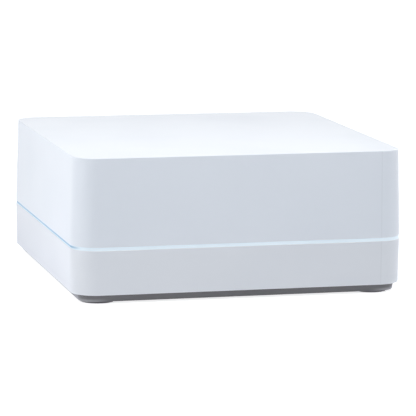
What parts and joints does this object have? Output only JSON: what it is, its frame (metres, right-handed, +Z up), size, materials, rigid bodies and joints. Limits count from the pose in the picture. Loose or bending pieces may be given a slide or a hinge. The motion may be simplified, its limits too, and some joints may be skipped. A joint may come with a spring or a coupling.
{
  "type": "smart lighting hub",
  "caption": "Square white desktop hub with a light line round its sides, a grey base, rubber feet, and network, power and link button at the rear.",
  "frame": {"origin": "on the ground under the middle of the plan, at the lowest face of the feet", "axes": "+Z up, -Y towards the front, +Y towards the sockets at the rear, +X to the right seen from the front"},
  "size_m": [0.127, 0.127, 0.0542],
  "materials": {
    "housing_white": "fine matt moulded texture",
    "light_guide_clear": "milky translucent",
    "base_grey": "fine matt moulded texture",
    "foot_rubber": "matt",
    "screw_steel": "zinc plated",
    "board_green": "glass fibre board with green lacquer",
    "black_plastic": "moulded",
    "shield_tin": "tin plated sheet",
    "contact_gold": "gold flashed",
    "pin_nickel": "nickel plated",
    "button_grey": "moulded",
    "chip_black": "moulded epoxy",
    "lamp_white": "lamp package",
    "capacitor_tan": "fired ceramic",
    "capacitor_can": "drawn can",
    "track_copper": "tinned copper",
    "ferrite": "sintered"
  },
  "bodies": {
    "housing": {"top_cover": "housing_white", "lower_band": "housing_white", "light_guide": "light_guide_clear", "base_plate": "base_grey", "foot_front_left": "foot_rubber", "foot_front_right": "foot_rubber", "foot_rear_left": "foot_rubber", "foot_rear_right": "foot_rubber", "case_screws": "screw_steel", "main_board": "board_green", "guide_leds": "lamp_white", "ethernet_jack_body": "black_plastic", "ethernet_jack_shield": "shield_tin", "ethernet_jack_contacts": "contact_gold", "ethernet_transformer": "chip_black", "ethernet_chip": "chip_black", "power_jack_body": "black_plastic", "power_jack_pin": "pin_nickel", "power_jack_contact": "pin_nickel", "link_switch_body": "black_plastic", "processor_chip": "chip_black", "memory_chip": "chip_black", "flash_chip": "chip_black", "ceramic_capacitors": "capacitor_tan", "crystal": "shield_tin", "radio_chip": "chip_black", "radio_shield": "shield_tin", "antenna_board": "board_green", "antenna_header": "black_plastic", "antenna_track": "track_copper", "input_capacitor": "capacitor_can", "output_capacitor": "capacitor_can", "power_inductor": "ferrite", "regulator_chip": "chip_black"},
    "link_button": {"link_button": "button_grey"},
    "link_switch_plunger": {"link_switch_plunger": "black_plastic"}
  },
  "joints": [
    {"name": "link_button", "type": "slide", "parent": "housing", "child": "link_button", "axis": [0, -1, 0], "range_m": [0, 0.0005], "stiffness_N_per_m": 300, "springref_m": -0.002},
    {"name": "link_switch_plunger", "type": "slide", "parent": "housing", "child": "link_switch_plunger", "axis": [0, -1, 0], "range_m": [0, 0.0005]}
  ],
  "couplings": [
    {"joint": "link_switch_plunger", "follows": "link_button", "ratio": 1}
  ]
}
